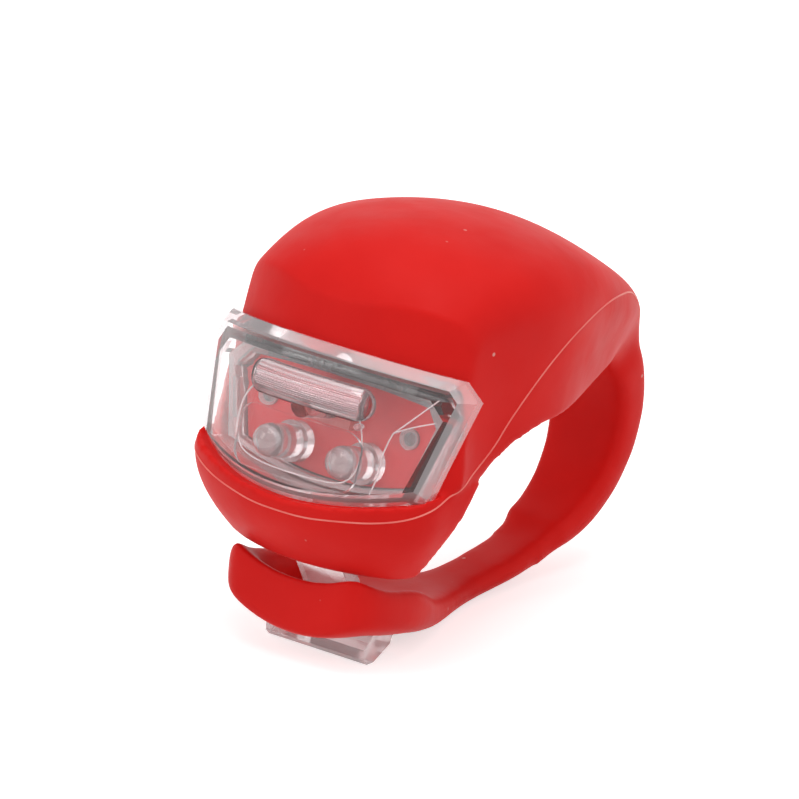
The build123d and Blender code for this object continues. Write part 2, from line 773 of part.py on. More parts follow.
# Front end of the strap: the thin run under the light and the paddle
with BuildPart() as strap_end:
    outside = bar_radius + strap_end_thick
    add(strap_section(radial(end_angle - hinge_slit), strap_end_half, bar_radius, outside))
    for step in range(run_steps + 1):
        y = run_back_y + (paddle_wide_y - run_back_y) * step / run_steps
        share = min(1, max(0, (flare_start_y - y) / (flare_start_y - flare_end_y)))
        flare = share**2 * (3 - 2 * share)
        half = run_half + (paddle_half - run_half) * flare
        thick = run_thick + (paddle_thick - run_thick) * flare
        bottom = run_bottom(y)
        lift = strap_flat + (paddle_lift - strap_flat) * flare**2
        add(strap_section(hanging(y), half, -bottom - thick, -bottom, lift, paddle_rim * flare**2))
    bottom = run_bottom(paddle_round_y)
    half = paddle_half - paddle_round_inset
    thick = paddle_thick + paddle_round_rim
    rim = paddle_rim - paddle_round_rim
    add(strap_section(hanging(paddle_round_y), half, -bottom - thick, -bottom, paddle_lift, rim))
    bottom = run_bottom(paddle_front_y)
    half = paddle_half - paddle_front_inset
    thick = paddle_thick + paddle_front_rim - paddle_front_thin
    lift = paddle_lift - paddle_front_thin
    add(strap_section(hanging(paddle_front_y), half, -bottom - thick, -bottom, lift))
    loft()
    with BuildSketch(Plane.XY):
        with Locations((0, (slot_front_y + slot_back_y) / 2)):
            RectangleRounded(2 * slot_half, slot_back_y - slot_front_y, slot_round)
    extrude(amount=far, both=True, mode=Mode.SUBTRACT)

# Ring seal between the collar and the skirt of the lens
with BuildPart() as lens_seal:
    seal_inset = fit_gap - touch_gap
    add(lens_prism(seal_back, seal_front, collar_side - seal_inset, collar_low - seal_inset))
    add(lens_prism(-near, near, collar_side + seal_thick, collar_low + seal_thick), mode=Mode.SUBTRACT)

# Battery cap with a coin slot, a seal groove and three lugs
with BuildPart() as battery_cap:
    add(drum_disc(cap_radius, cap_floor, cap_top))
    ring = drum_disc(far, cap_floor + cap_seal_low, cap_floor + cap_seal_high, cap_radius - cap_seal_depth)
    add(ring, mode=Mode.SUBTRACT)
    add(bayonet_lugs(0, cap_floor + lug_low, cap_floor + lug_high, lug_width))
    with BuildSketch(Plane.XY.offset(cap_floor)):
        with Locations((0, drum_y)):
            SlotOverall(coin_slot_length, coin_slot_width)
    extrude(amount=coin_slot_depth, mode=Mode.SUBTRACT)

with BuildPart() as cap_seal:
    seal_floor = cap_floor + cap_seal_low + touch_gap
    seal_ceiling = cap_floor + cap_seal_high - touch_gap
    add(drum_disc(drum_bore - touch_gap, seal_floor, seal_ceiling, cap_radius - cap_seal_depth + touch_gap))

# Coin cells: a steel can with a slightly smaller lid at its lower, negative side
def coin_cell(floor):
    with BuildPart(mode=Mode.PRIVATE) as cell:
        add(drum_disc(cell_radius, floor + cell_lid_height, floor + cell_height))
        add(drum_disc(cell_radius - cell_lid_inset, floor, floor + cell_lid_height))
    return cell.part


with BuildPart() as cell_lower:
    add(coin_cell(cell_floor))

with BuildPart() as cell_upper:
    add(coin_cell(cell_floor + cell_height))

# Sprung contact disc on the cap
with BuildPart() as cap_contact:
    add(drum_disc(contact_disc, cap_top, cap_top + contact_thick, contact_hole))

# Side contact: a strip in its groove with a foot over the disc
with BuildPart() as side_contact:
    foot_top = cap_top + contact_room - touch_gap
    with BuildSketch(Plane.XY.offset(foot_top - contact_foot_thick)):
        with Locations((contact_x, drum_y - contact_front)):
            Rectangle(2 * contact_half, contact_thick)
    extrude(amount=side_contact_height)
    with BuildSketch(Plane.XY.offset(foot_top - contact_foot_thick)):
        with Locations((contact_x, drum_y - contact_front + contact_reach / 2)):
            Rectangle(2 * contact_half, contact_reach)
    extrude(amount=contact_foot_thick)

# Top contact: a strip up its groove and along under the roof
with BuildPart() as top_contact:
    strip_top = drum_ceiling - touch_gap
    with BuildSketch(Plane.XY.offset(cell_floor + fit_gap)):
        with Locations((-contact_x, drum_y - contact_front)):
            Rectangle(2 * contact_half, contact_thick)
    extrude(amount=strip_top - cell_floor - fit_gap)
    with BuildSketch(Plane.XY.offset(strip_top - contact_thick)):
        with Locations((-contact_x, drum_y - contact_front + contact_reach)):
            Rectangle(2 * contact_half, 2 * contact_reach)
    extrude(amount=contact_thick)

# The two wires from the board to the contacts
with BuildPart() as contact_wires:
    for place in (-1, 1):
        wire_from = (place * contact_x, wire_start[1], wire_start[2])
        wire_to = (place * contact_x, wire_end[1], wire_end[2])
        add(straight_rod(wire_from, wire_to, wire_radius))
    with BuildPart(mode=Mode.PRIVATE) as ends:
        add(lens_prism(bulkhead_front, near))
        with BuildSketch(Plane.XZ.offset(-(drum_y - contact_front - contact_thick / 2 - touch_gap))):
            Rectangle(far, 2 * far)
        extrude(amount=-far)
    add(ends.part, mode=Mode.SUBTRACT)

# Circuit board with holes for the lamp leads and pegs
with BuildPart() as circuit_board:
    add(lens_prism(board_back, board_front, board_side, board_low))
    for place in (-1, 1):
        peg_hole = peg_radius + fit_gap
        add(lens_rod(place * peg_offset, peg_rise, peg_hole, board_back, board_front), mode=Mode.SUBTRACT)
        for side in (-1, 1):
            lead_x = place * lamp_half_pitch + side * lead_half_pitch
            width = lead_side + 2 * touch_gap
            add(lens_box(lead_x, lamp_rise, width, width, board_back, board_front), mode=Mode.SUBTRACT)


def lamp(x):
    """One round lamp with its collar, standing on the board."""
    base = board_front + touch_gap
    with BuildPart(mode=Mode.PRIVATE) as bulb:
        add(lens_rod(x, lamp_rise, lamp_radius, base, lamp_tip - lamp_radius))
        with Locations(Location(lens_plane(lamp_tip - lamp_radius))):
            with Locations((x, lamp_rise, 0)):
                Sphere(lamp_radius)
        add(lens_rod(x, lamp_rise, lamp_flange_radius, base, base + lamp_flange_thick))
    return bulb.part


with BuildPart() as led_left:
    add(lamp(-lamp_half_pitch))

with BuildPart() as led_right:
    add(lamp(lamp_half_pitch))

with BuildPart() as led_leads:
    for place in (-1, 1):
        for side in (-1, 1):
            lead_x = place * lamp_half_pitch + side * lead_half_pitch
            add(lens_box(lead_x, lamp_rise, lead_side, lead_side, board_back, board_front + touch_gap / 2))

# Press switch: body, cover plate and button
switch_base = board_front + touch_gap
switch_top = board_front + switch_height
with BuildPart() as switch_body:
    add(lens_box(0, switch_rise, switch_width, switch_length, switch_base, switch_top - switch_cover_thick))
    well = switch_button_radius + fit_gap
    add(lens_rod(0, switch_rise, well, switch_base + switch_button_depth, near), mode=Mode.SUBTRACT)

with BuildPart() as switch_cover:
    add(lens_box(0, switch_rise, switch_width, switch_length, switch_top - switch_cover_thick, switch_top))
    add(lens_rod(0, switch_rise, well, -near, near), mode=Mode.SUBTRACT)

with BuildPart() as switch_button:
    button_base = switch_base + switch_button_depth + lens_travel + fit_gap
    add(lens_rod(0, switch_rise, switch_button_radius, button_base, button_top))

# Controller chip under a drop of black resin on the back of the board
with BuildPart() as controller_chip:
    base = board_back - touch_gap / 2
    drop_radius = (chip_radius**2 + chip_dome**2) / (2 * chip_dome)
    with Locations(Location(lens_plane(base - chip_height + drop_radius))):
        with Locations((-chip_offset, chip_rise, 0)):
            Sphere(drop_radius)
    add(lens_rod(-chip_offset, chip_rise, far / 2, base - chip_height, base), mode=Mode.INTERSECT)

with BuildPart() as resistors:
    for rise in resistor_rises:
        base = board_back - touch_gap / 2
        add(lens_box(resistor_offset, rise, resistor_length, resistor_width, base - resistor_height, base))

pieces = {
    "jacket": jacket,
    "strap_rear": strap_rear,
    "strap_end": strap_end,
    "housing": housing,
    "lens": lens,
    "lens_seal": lens_seal,
    "battery_cap": battery_cap,
    "cap_seal": cap_seal,
    "cap_contact": cap_contact,
    "side_contact": side_contact,
    "top_contact": top_contact,
    "contact_wires": contact_wires,
    "cell_lower": cell_lower,
    "cell_upper": cell_upper,
    "circuit_board": circuit_board,
    "led_left": led_left,
    "led_right": led_right,
    "led_leads": led_leads,
    "switch_body": switch_body,
    "switch_cover": switch_cover,
    "switch_button": switch_button,
    "controller_chip": controller_chip,
    "resistors": resistors,
}
# The origin is set under the middle of the whole light, at the height of its lowest point
low_corner = Vector(far, far, far)
high_corner = Vector(-far, -far, -far)
for piece in pieces.values():
    box = piece.part.bounding_box()
    low_corner = Vector(0, min(low_corner.Y, box.min.Y), min(low_corner.Z, box.min.Z))
    high_corner = Vector(0, max(high_corner.Y, box.max.Y), 0)
middle = (low_corner.Y + high_corner.Y) / 2
place = Location((0, -middle, -low_corner.Z))
for name, piece in pieces.items():
    placed = piece.part.moved(place)
    placed.label = name
    export_step(placed, f"parts/{name}.step")
print("moved by", -middle, -low_corner.Z)
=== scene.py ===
# A small silicone bicycle light: a red jacket with its strap, and a clear lens in front.
import math

import bpy
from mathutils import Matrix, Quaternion, Vector


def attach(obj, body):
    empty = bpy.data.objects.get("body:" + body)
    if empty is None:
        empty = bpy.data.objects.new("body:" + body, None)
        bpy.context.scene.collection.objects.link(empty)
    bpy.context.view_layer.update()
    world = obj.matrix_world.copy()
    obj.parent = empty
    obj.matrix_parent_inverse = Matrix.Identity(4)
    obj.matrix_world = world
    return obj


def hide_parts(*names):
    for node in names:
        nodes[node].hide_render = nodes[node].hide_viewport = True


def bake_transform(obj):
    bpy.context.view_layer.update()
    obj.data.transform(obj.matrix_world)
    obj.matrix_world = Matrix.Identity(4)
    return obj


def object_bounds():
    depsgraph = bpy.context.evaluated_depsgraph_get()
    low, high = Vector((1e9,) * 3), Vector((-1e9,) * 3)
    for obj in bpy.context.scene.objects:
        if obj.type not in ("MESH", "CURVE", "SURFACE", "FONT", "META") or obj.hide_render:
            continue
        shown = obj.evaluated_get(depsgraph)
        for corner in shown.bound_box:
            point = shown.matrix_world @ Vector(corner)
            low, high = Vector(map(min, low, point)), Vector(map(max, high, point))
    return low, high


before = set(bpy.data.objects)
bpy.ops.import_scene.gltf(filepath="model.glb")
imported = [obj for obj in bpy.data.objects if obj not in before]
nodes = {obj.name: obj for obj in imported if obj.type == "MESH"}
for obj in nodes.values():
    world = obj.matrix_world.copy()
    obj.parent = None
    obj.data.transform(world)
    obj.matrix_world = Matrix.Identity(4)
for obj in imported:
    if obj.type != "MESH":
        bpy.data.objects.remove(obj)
cad_low, cad_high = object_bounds()

MM = 0.001
IMAGE = 799

# The photograph's view: where the camera stands, and the point of the light that it is aimed by.
VIEW_AZIMUTH = 35.1
VIEW_ELEVATION = 19.1
VIEW_ROLL = 4.8
VIEW_DISTANCE = 2.5
VIEW_REACH = 10
PIXELS_PER_MM = 11.5
AIM_POINT = Vector((0, -1.037, 17.7)) * MM
AIM_PIXEL = (440.5, 417.7)
SENSOR_WIDTH = 36

ROOM_LIGHT = 0.5
FLOOR_GLOW = 0.62
FLOOR_SIZE = 3
FLOOR_GREY = 0.86


# Camera.


def place_camera():
    """A camera at the photograph's view, and its own back, right and up as directions of the room."""
    azimuth, elevation, lean = (math.radians(v) for v in (VIEW_AZIMUTH, VIEW_ELEVATION, VIEW_ROLL))
    ahead = math.cos(elevation)
    back = Vector((math.sin(azimuth) * ahead, -math.cos(azimuth) * ahead, math.sin(elevation)))
    level = Vector((math.cos(azimuth), math.sin(azimuth), 0))
    upright = back.cross(level)
    right = math.cos(lean) * level + math.sin(lean) * upright
    up = -math.sin(lean) * level + math.cos(lean) * upright
    across = (IMAGE / 2 - AIM_PIXEL[0]) / PIXELS_PER_MM * MM
    down = (IMAGE / 2 - AIM_PIXEL[1]) / PIXELS_PER_MM * MM
    centre = AIM_POINT + right * across - up * down
    data = bpy.data.cameras.new("camera")
    camera = bpy.data.objects.new("camera", data)
    bpy.context.scene.collection.objects.link(camera)
    turn = (-back).to_track_quat("-Z", "Y")
    camera.location = centre + back * VIEW_DISTANCE
    camera.rotation_mode = "QUATERNION"
    camera.rotation_quaternion = turn
    bpy.context.view_layer.update()
    now_up = turn @ Vector((0, 1, 0))
    roll = math.atan2(now_up.cross(up).dot(back), now_up.dot(up))
    camera.rotation_quaternion = turn @ Quaternion((0, 0, 1), roll)
    data.sensor_width = SENSOR_WIDTH
    data.lens = PIXELS_PER_MM / MM * VIEW_DISTANCE / IMAGE * data.sensor_width
    data.clip_end = VIEW_REACH
    bpy.context.scene.camera = camera
    return back, right, up


# Materials.


def new_material(name):
    """A material with its node tree and its shader."""
    material = bpy.data.materials.new(name)
    material.use_nodes = True
    tree = material.node_tree
    shader = tree.nodes["Principled BSDF"]
    return material, tree, shader


def object_space(tree):
    """Where a point of the surface lies on its own piece."""
    return tree.nodes.new("ShaderNodeTexCoord").outputs["Object"]


def noise(tree, scale, detail):
    """A cloudy pattern, finer with a higher scale."""
    node = tree.nodes.new("ShaderNodeTexNoise")
    node.inputs["Scale"].default_value = scale
    node.inputs["Detail"].default_value = detail
    tree.links.new(object_space(tree), node.inputs["Vector"])
    return node.outputs["Fac"]


def ramp(tree, value, stops):
    """A value turned into a colour that runs between the stops."""
    node = tree.nodes.new("ShaderNodeValToRGB")
    elements = node.color_ramp.elements
    for element, (place, colour) in zip(elements, stops):
        element.position = place
        element.color = (*colour, 1)
    tree.links.new(value, node.inputs["Fac"])
    return node.outputs["Color"]


def product(tree, value, factor):
    """A value times another value or a plain number."""
    node = tree.nodes.new("ShaderNodeMath")
    node.operation = "MULTIPLY"
    tree.links.new(value, node.inputs[0])
    if isinstance(factor, float):
        node.inputs[1].default_value = factor
    else:
        tree.links.new(factor, node.inputs[1])
    return node.outputs[0]


def bump(tree, shader, height, strength, distance, after=None):
    """Fine relief on a surface, on top of another relief where one is given."""
    node = tree.nodes.new("ShaderNodeBump")
    node.inputs["Strength"].default_value = strength
    node.inputs["Distance"].default_value = distance
    tree.links.new(height, node.inputs["Height"])
    if after is not None:
        tree.links.new(after.outputs["Normal"], node.inputs["Normal"])
    tree.links.new(node.outputs["Normal"], shader.inputs["Normal"])
    return node


def grey(value):
    return (value, value, value)


def silicone():
    """Satin red silicone: a fine grain, slight unevenness of the red, and a few specks of dust."""
    material, tree, shader = new_material("red_silicone")
    patches = noise(tree, scale=90, detail=3)
    red = ramp(tree, patches, [(0.3, (0.690, 0.0100, 0.0085)), (0.7, (0.780, 0.0150, 0.0120))])
    specks = tree.nodes.new("ShaderNodeTexVoronoi")
    specks.inputs["Scale"].default_value = 420
    specks.inputs["Randomness"].default_value = 1.0
    tree.links.new(object_space(tree), specks.inputs["Vector"])
    dust = ramp(tree, specks.outputs["Distance"], [(0.05, grey(0.8)), (0.09, grey(0))])
    few = ramp(tree, noise(tree, scale=330, detail=1), [(0.55, grey(0)), (0.6, grey(1))])
    mixed = tree.nodes.new("ShaderNodeMix")
    mixed.data_type = "RGBA"
    tree.links.new(product(tree, dust, few), mixed.inputs["Factor"])
    tree.links.new(red, mixed.inputs["A"])
    mixed.inputs["B"].default_value = (0.80, 0.42, 0.38, 1)
    tree.links.new(mixed.outputs["Result"], shader.inputs["Base Color"])
    worn = ramp(tree, noise(tree, scale=260, detail=2), [(0.3, grey(0.44)), (0.7, grey(0.54))])
    tree.links.new(worn, shader.inputs["Roughness"])
    shader.inputs["Specular IOR Level"].default_value = 0.13
    shader.inputs["IOR"].default_value = 1.42
    shader.inputs["Sheen Weight"].default_value = 0.03
    shader.inputs["Sheen Roughness"].default_value = 0.4
    soft = bump(tree, shader, noise(tree, scale=700, detail=3), strength=0.12, distance=0.0002)
    bump(tree, shader, noise(tree, scale=5200, detail=2), strength=0.10, distance=0.00003, after=soft)
    return material


def let_lamps_through(tree, shader, tint, share):
    """Clear plastic throws only a faint shadow, so that the lamps reach what is behind it."""
    path = tree.nodes.new("ShaderNodeLightPath")
    passing = tree.nodes.new("ShaderNodeBsdfTransparent")
    passing.inputs["Color"].default_value = (*tint, 1)
    mix = tree.nodes.new("ShaderNodeMixShader")
    tree.links.new(product(tree, path.outputs["Is Shadow Ray"], share), mix.inputs[0])
    tree.links.new(shader.outputs[0], mix.inputs[1])
    tree.links.new(passing.outputs[0], mix.inputs[2])
    tree.links.new(mix.outputs[0], tree.nodes["Material Output"].inputs["Surface"])


def clear_plastic(name, tint, waviness, clearness=1.0, roughness=0.04, index=1.585):
    """Polished polycarbonate, with the faint waves of a moulded surface and a few fine scratches."""
    material, tree, shader = new_material(name)
    paler = tuple(min(1, c * 1.02) for c in tint)
    colour = ramp(tree, noise(tree, scale=160, detail=2), [(0.35, tint), (0.65, paler)])
    tree.links.new(colour, shader.inputs["Base Color"])
    shader.inputs["Transmission Weight"].default_value = clearness
    shader.inputs["IOR"].default_value = index
    scratches = noise(tree, scale=900, detail=3)
    rough = ramp(tree, scratches, [(0.45, grey(roughness / 2)), (0.75, grey(roughness))])
    tree.links.new(rough, shader.inputs["Roughness"])
    bump(tree, shader, noise(tree, scale=240, detail=1), strength=waviness, distance=0.0003)
    let_lamps_through(tree, shader, tint, 0.9)
    return material


def lamp_resin():
    """Water-clear resin of the lamps, a little milky, with the grey of the cup inside."""
    material, tree, shader = new_material("lamp_resin")
    cloud = noise(tree, scale=800, detail=3)
    colour = ramp(tree, cloud, [(0.3, (0.80, 0.70, 0.71)), (0.7, (0.92, 0.86, 0.87))])
    tree.links.new(colour, shader.inputs["Base Color"])
    shader.inputs["Transmission Weight"].default_value = 0.8
    shader.inputs["IOR"].default_value = 1.52
    shader.inputs["Roughness"].default_value = 0.03
    shader.inputs["Coat Weight"].default_value = 1.0
    bump(tree, shader, noise(tree, scale=1500, detail=2), strength=0.06, distance=0.0001)
    let_lamps_through(tree, shader, (0.9, 0.8, 0.8), 0.8)
    return material


def moulded(name, dark, light, roughness, grain=4000):
    """A matt moulded plastic or rubber with a fine grain."""
    material, tree, shader = new_material(name)
    colour = ramp(tree, noise(tree, scale=300, detail=3), [(0.3, dark), (0.7, light)])
    tree.links.new(colour, shader.inputs["Base Color"])
    shader.inputs["Roughness"].default_value = roughness
    bump(tree, shader, noise(tree, scale=grain, detail=2), strength=0.2, distance=0.00004)
    return material


def metal(name, dark, light, roughness, stretch):
    """A drawn or plated metal: fine lines along one way."""
    material, tree, shader = new_material(name)
    lines = tree.nodes.new("ShaderNodeMapping")
    lines.inputs["Scale"].default_value = stretch
    tree.links.new(object_space(tree), lines.inputs["Vector"])
    brushed = tree.nodes.new("ShaderNodeTexNoise")
    brushed.inputs["Scale"].default_value = 900
    tree.links.new(lines.outputs["Vector"], brushed.inputs["Vector"])
    colour = ramp(tree, brushed.outputs["Fac"], [(0.3, dark), (0.7, light)])
    tree.links.new(colour, shader.inputs["Base Color"])
    shader.inputs["Metallic"].default_value = 1.0
    shader.inputs["Roughness"].default_value = roughness
    bump(tree, shader, brushed.outputs["Fac"], strength=0.1, distance=0.00003)
    return material


finishes = {
    "silicone": silicone(),
    # The parting line's lighter red is a painted highlight on its ridge.
    "parting_highlight": moulded("parting_line_painted_highlight", (0.84, 0.12, 0.10), (0.90, 0.24, 0.20), 0.5, grain=6000),
    "lens": clear_plastic("lens_plastic", (0.995, 0.975, 0.978), 0.03),
    # The rim's paler, milkier tint is a painted highlight.
    "lens_rim_painted_highlight": clear_plastic("lens_rim_painted_highlight_plastic", (1.0, 0.88, 0.90), 0.10, 0.72, 0.14),
    # The bar's paler pink tint is a painted highlight.
    "lens_bar_painted_highlight": clear_plastic("lens_bar_painted_highlight_plastic", (1.0, 0.82, 0.84), 0.0, 0.80, 0.06, 1.75),
    # The pale tint of the lines along the lens's edges is a painted highlight.
    "lens_edge_highlight": clear_plastic("lens_edge_highlight_plastic", (0.97, 0.86, 0.87), 0.02, 0.55, 0.10),
    "housing": clear_plastic("housing_plastic", (0.95, 0.86, 0.87), 0.06, 0.78, 0.14),
    "seal": moulded("seal_rubber", (0.55, 0.02, 0.015), (0.62, 0.03, 0.02), 0.6),
    "white": moulded("white_plastic", (0.78, 0.78, 0.76), (0.86, 0.86, 0.84), 0.42),
    "steel": metal("contact_steel", (0.62, 0.62, 0.64), (0.76, 0.76, 0.78), 0.28, (1, 6, 1)),
    "copper": metal("wire_copper", (0.62, 0.35, 0.22), (0.78, 0.46, 0.30), 0.3, (1, 1, 6)),
    "cell": metal("cell_steel", (0.60, 0.60, 0.62), (0.72, 0.72, 0.74), 0.25, (6, 6, 0.5)),
    "board": moulded("board_mask", (0.74, 0.020, 0.028), (0.84, 0.035, 0.040), 0.30, grain=2500),
    "lamp": lamp_resin(),
    "black": moulded("black_plastic", (0.025, 0.025, 0.027), (0.04, 0.04, 0.042), 0.45),
    "switch": moulded("switch_plastic", (0.60, 0.09, 0.09), (0.70, 0.13, 0.12), 0.35),
}

node_finish = {
    "jacket": "silicone",
    "strap_rear": "silicone",
    "strap_end": "silicone",
    "housing": "housing",
    "lens": "lens",
    "lens_seal": "seal",
    "cap_seal": "seal",
    "switch_cover": "switch",
    "battery_cap": "white",
    "cap_contact": "steel",
    "side_contact": "steel",
    "top_contact": "steel",
    "contact_wires": "copper",
    "led_leads": "steel",
    "cell_lower": "cell",
    "cell_upper": "cell",
    "circuit_board": "board",
    "led_left": "lamp",
    "led_right": "lamp",
    "switch_body": "switch",
    "switch_button": "switch",
    "controller_chip": "black",
    "resistors": "black",
}


def finish_nodes():
    """Every solid of the part takes its finish."""
    for name, finish in node_finish.items():
        data = nodes[name].data
        data.materials.clear()
        data.materials.append(finishes[finish])


# Shared ways of working.

# How near two points of a copied mesh lie when they are one.
MERGE_REACH = 0.000005
EXACT_REACH = 0.0000001

# The part's own frame lies a little behind the one that its forms were measured in.
SHIFT_Y = -1.0366


def mm(point):
    """A point in millimetres in the part's frame, in metres."""
    return Vector(point) * MM


def measured(point):
    """A point in the frame that the forms were measured in, in metres of the part's frame."""
    return Vector((point[0], point[1] + SHIFT_Y, point[2])) * MM


def alone(piece):
    """Nothing but this piece is selected and active."""
    bpy.ops.object.select_all(action="DESELECT")
    piece.select_set(True)
    bpy.context.view_layer.objects.active = piece


def copy_of(name, reach=MERGE_REACH):
    """A free copy of a solid's mesh with its loose triangles merged."""
    copy = bpy.data.objects.new(name + "_copy", nodes[name].data.copy())
    bpy.context.scene.collection.objects.link(copy)
    alone(copy)
    bpy.ops.object.mode_set(mode="EDIT")
    bpy.ops.mesh.select_all(action="SELECT")
    bpy.ops.mesh.remove_doubles(threshold=reach)
    bpy.ops.object.mode_set(mode="OBJECT")
    return copy


def apply_modifier(piece, kind, **values):
    """Adds a modifier with these values and applies it."""
    alone(piece)
    modifier = piece.modifiers.new(kind.lower(), kind)
    for key, value in values.items():
        setattr(modifier, key, value)
    bpy.ops.object.modifier_apply(modifier=modifier.name)


def select_faces(piece, chosen):
    """Only the faces that the test picks are selected, and edit mode is on."""
    alone(piece)
    bpy.ops.object.mode_set(mode="EDIT")
    bpy.ops.mesh.select_all(action="DESELECT")
    bpy.ops.object.mode_set(mode="OBJECT")
    for face in piece.data.polygons:
        face.select = chosen(face)
    bpy.ops.object.mode_set(mode="EDIT")


def join(first, others):
    """The other pieces become part of the first one."""
    bpy.ops.object.select_all(action="DESELECT")
    for piece in [first, *others]:
        piece.select_set(True)
    bpy.context.view_layer.objects.active = first
    bpy.ops.object.join()


def curve_through(name, places, steps):
    """A smooth open curve that is drawn towards the places."""
    data = bpy.data.curves.new(name, "CURVE")
    data.dimensions = "3D"
    data.resolution_u = steps
    spline = data.splines.new("NURBS")
    spline.points.add(len(places) - 1)
    for point, place in zip(spline.points, places):
        point.co = (*place, 1)
    spline.order_u = 3
    spline.use_endpoint_u = True
    curve = bpy.data.objects.new(name, data)
    bpy.context.scene.collection.objects.link(curve)
    return curve


def converted(piece, kind):
    """A curve turned into a mesh, or a mesh of one chain of edges into a curve."""
    alone(piece)
    bpy.ops.object.convert(target=kind)
    return bpy.context.object


# Silicone jacket and strap, with sizes in millimetres.

VOXEL = 0.28
SMOOTH_SHARE = 0.5
SKIN_PASSES = 8

# Two pads back the jacket's flanks.
PAD_CENTRE = (12.05, -12.9, 24.6)
PAD_SIZE = (0.8, 3.0, 3.4)

# Where the rounding of each stretch starts, and in what length it grows to its full share.
STRAP_FADE = (9.2, -1.0)
STRAP_LEAST = 0.25
STRAP_TOP = 9.4
STRAP_REAR = 12
RUN_FRONT_FADE = (-12, 3)
RUN_REAR_FADE = (12, -3)
RUN_TOP = 8
SEAM_FRONT_FADE = (13.0, 2.5)
SEAM_TOP_FADE = (25.0, -2.5)
HOOD_FOOT_FADE = (25.5, 3)
HOOD_FRONT_FADE = (-15.5, 3)

# The strap is parted from the jacket on a level through its rear bend.
STRAP_CUT = (0, 20, 12)
BEND_FRONT = 15
BEND_TOP = 16

# The mould's parting line from the middle of the chin to the root of the strap, on one side.
PARTING_RADIUS = 0.08
PARTING_STEPS = 16
PARTING_PASSES = 4
PARTING_POINTS = [
    (0.0, -23.4, 14.7),
    (3.0, -23.2, 14.7),
    (5.4, -22.8, 15.0),
    (9.5, -21.6, 15.4),
    (12.3, -19.3, 16.4),
    (12.9, -14.8, 17.9),
    (12.6, -10.0, 20.0),
    (12.7, -7.6, 23.0),
    (13.2, -3.0, 27.3),
    (12.9, 2.0, 29.5),
    (11.4, 7.8, 29.9),
    (8.3, 15.3, 28.2),
    (7.0, 18.0, 26.6),
    (5.6, 20.9, 23.5),
]


def fade(value, start, length):
    """Nought up to the start, growing to one within the length, which is negative for a fall."""
    return min(1, max(0, (value - start) / length))


def hood_weight(point):
    """How far a point belongs to the outside of the hood and the hump, where the silicone is roundest."""
    return fade(point.z, *HOOD_FOOT_FADE) * fade(point.y, *HOOD_FRONT_FADE)


def strap_weight(point):
    """How far a point belongs to the paddle and the run, whose edges are the roundest."""
    if point.y > STRAP_REAR or point.z >= STRAP_TOP:
        return 0
    return max(STRAP_LEAST, fade(point.z, *STRAP_FADE))


def run_weight(point):
    """How far a point belongs to the run between the paddle and the rear bend, which is nearly round."""
    if point.z >= RUN_TOP:
        return 0
    return fade(point.y, *RUN_FRONT_FADE) * fade(point.y, *RUN_REAR_FADE)


def seam_weight(point):
    """How far a point belongs to the rear bend, where the strap's solids meet behind the housing."""
    return fade(point.y, *SEAM_FRONT_FADE) * fade(point.z, *SEAM_TOP_FADE)


# Each stretch with the share that a point has in it and how often it is smoothed, in this order.
STRETCHES = [
    ("hood", hood_weight, 50),
    ("strap", strap_weight, 45),
    ("run", run_weight, 40),
    ("seam", seam_weight, 35),
]


def weigh(piece, name, weight):
    """A vertex group whose weights come from each point's place, in millimetres."""
    group = piece.vertex_groups.new(name=name)
    for vertex in piece.data.vertices:
        value = weight(vertex.co / MM)
        if value > 0:
            group.add([vertex.index], value, "REPLACE")


def flank_pads():
    """Two pads that back the jacket's flanks behind the lens's corners, where its wall is thinnest."""
    pads = []
    for side in (-1, 1):
        bpy.ops.object.select_all(action="DESELECT")
        centre = measured((side * PAD_CENTRE[0], *PAD_CENTRE[1:]))
        bpy.ops.mesh.primitive_cube_add(size=1, location=centre)
        pad = bpy.context.object
        pad.scale = mm(PAD_SIZE)
        bpy.ops.object.transform_apply(location=True, rotation=True, scale=True)
        pads.append(pad)
    return pads


def soften(whole):
    """One even skin over all the solids, smoothed all over and then more in each stretch."""
    apply_modifier(whole, "REMESH", mode="VOXEL", voxel_size=VOXEL * MM, use_smooth_shade=True)
    apply_modifier(whole, "SMOOTH", factor=SMOOTH_SHARE, iterations=SKIN_PASSES)
    for name, weight, passes in STRETCHES:
        weigh(whole, name, weight)
        apply_modifier(whole, "SMOOTH", factor=SMOOTH_SHARE, iterations=passes, vertex_group=name)


def part_strap(whole):
    """Parts the strap from the jacket on a level through the rear bend."""
    select_faces(whole, lambda face: face.center.y > BEND_FRONT * MM and face.center.z < BEND_TOP * MM)
    bpy.ops.mesh.bisect(plane_co=mm(STRAP_CUT), plane_no=(0, 0, 1))
    bpy.ops.mesh.edge_split()
    bpy.ops.mesh.select_all(action="SELECT")
    bpy.ops.mesh.separate(type="LOOSE")
    bpy.ops.object.mode_set(mode="OBJECT")
    halves = sorted(bpy.context.selected_objects, key=lambda o: -len(o.data.vertices))
    for scrap in halves[2:]:
        bpy.data.objects.remove(scrap)
    strap, jacket = sorted(halves[:2], key=lambda o: min(v.co.z for v in o.data.vertices))
    return jacket, strap


def mould_silicone():
    """Jacket and strap in one moulding, softened at every edge, parted half-way down the rear bend."""
    whole = copy_of("jacket")
    join(whole, [copy_of("strap_rear"), copy_of("strap_end"), *flank_pads()])
    soften(whole)
    jacket, strap = part_strap(whole)
    for piece, name in ((jacket, "silicone_jacket"), (strap, "silicone_strap")):
        piece.name = name
        piece.data.name = name
        piece.vertex_groups.clear()
        piece.data.materials.clear()
        piece.data.materials.append(finishes["silicone"])
    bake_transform(jacket)
    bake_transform(strap)
    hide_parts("jacket")
    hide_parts("strap_rear", "strap_end")
    return jacket


